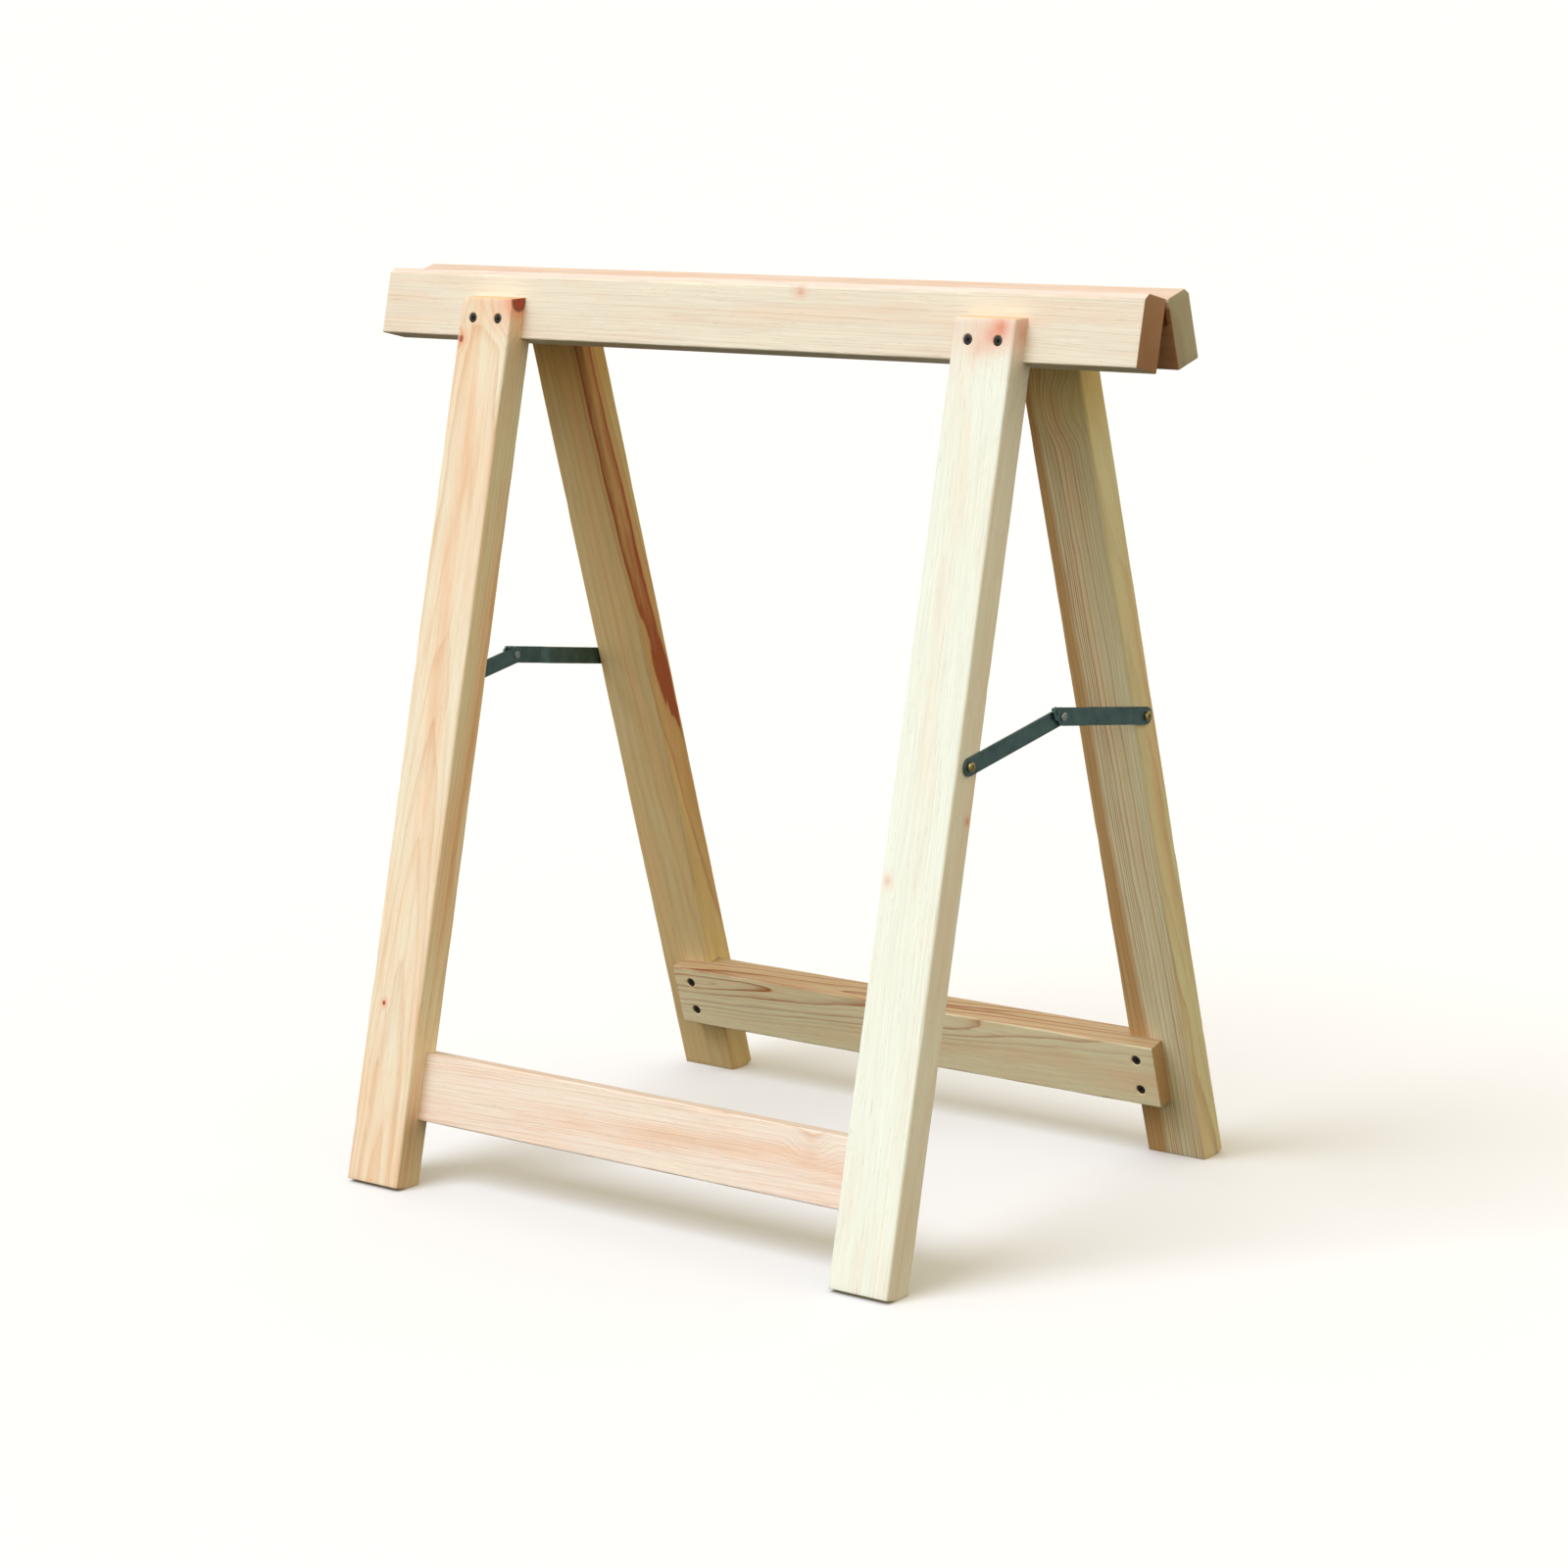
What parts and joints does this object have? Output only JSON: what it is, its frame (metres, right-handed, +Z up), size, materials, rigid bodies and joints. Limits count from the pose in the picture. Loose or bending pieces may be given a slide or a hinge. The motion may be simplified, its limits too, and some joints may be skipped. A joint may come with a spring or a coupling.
{
  "type": "folding sawhorse",
  "caption": "Folding wooden sawhorse: paired leg frames hinged under a split top beam, held open by folding steel braces.",
  "frame": {"origin": "on the floor, in the middle between the four feet, under the middle of the beams", "axes": "+X along the beams, +Y from the front frame to the back frame, +Z up"},
  "size_m": [0.775, 0.4774, 0.7499],
  "materials": {
    "pine": "planed, unfinished",
    "black_screw": "black phosphated",
    "brace_steel": "zinc plated, dull",
    "yellow_zinc": "yellow zinc plated steel",
    "hinge_steel": "bright zinc plated"
  },
  "bodies": {
    "front_frame": {"front_beam": "pine", "front_left_leg": "pine", "front_right_leg": "pine", "front_stretcher": "pine", "front_leg_screws": "black_screw", "front_stretcher_screws": "black_screw", "front_brace_screws": "yellow_zinc", "front_hinge_screws": "yellow_zinc", "left_hinge_front_leaf": "hinge_steel", "right_hinge_front_leaf": "hinge_steel", "left_hinge_pin": "hinge_steel", "right_hinge_pin": "hinge_steel"},
    "back_frame": {"back_beam": "pine", "back_left_leg": "pine", "back_right_leg": "pine", "back_stretcher": "pine", "back_leg_screws": "black_screw", "back_stretcher_screws": "black_screw", "back_brace_screws": "yellow_zinc", "back_hinge_screws": "yellow_zinc", "left_hinge_back_leaf": "hinge_steel", "right_hinge_back_leaf": "hinge_steel"},
    "left_brace_front": {"left_brace_front_link": "brace_steel", "left_brace_rivet_tail": "brace_steel"},
    "left_brace_back": {"left_brace_back_link": "brace_steel", "left_brace_rivet_head": "brace_steel"},
    "right_brace_front": {"right_brace_front_link": "brace_steel", "right_brace_rivet_tail": "brace_steel"},
    "right_brace_back": {"right_brace_back_link": "brace_steel", "right_brace_rivet_head": "brace_steel"}
  },
  "joints": [
    {"name": "frame_fold", "type": "hinge", "parent": "front_frame", "child": "back_frame", "pos_m": [0, 0, 0.74171], "axis": [-1, 0, 0], "range_deg": [0, 29]},
    {"name": "left_front_link_pivot", "type": "hinge", "parent": "front_frame", "child": "left_brace_front", "pos_m": [-0.2859, -0.1225, 0.39638], "axis": [1, 0, 0], "range_deg": [0, 52]},
    {"name": "left_back_link_pivot", "type": "hinge", "parent": "back_frame", "child": "left_brace_back", "pos_m": [-0.2859, 0.1225, 0.39638], "axis": [-1, 0, 0], "range_deg": [0, 52]},
    {"name": "right_front_link_pivot", "type": "hinge", "parent": "front_frame", "child": "right_brace_front", "pos_m": [0.2859, -0.1225, 0.39638], "axis": [1, 0, 0], "range_deg": [0, 52]},
    {"name": "right_back_link_pivot", "type": "hinge", "parent": "back_frame", "child": "right_brace_back", "pos_m": [0.2859, 0.1225, 0.39638], "axis": [-1, 0, 0], "range_deg": [0, 52]}
  ],
  "couplings": [
    {"joint": "left_front_link_pivot", "follows": "frame_fold", "ratio": 1.7775},
    {"joint": "left_back_link_pivot", "follows": "frame_fold", "ratio": 1.7775},
    {"joint": "right_front_link_pivot", "follows": "frame_fold", "ratio": 1.7775},
    {"joint": "right_back_link_pivot", "follows": "frame_fold", "ratio": 1.7775}
  ]
}
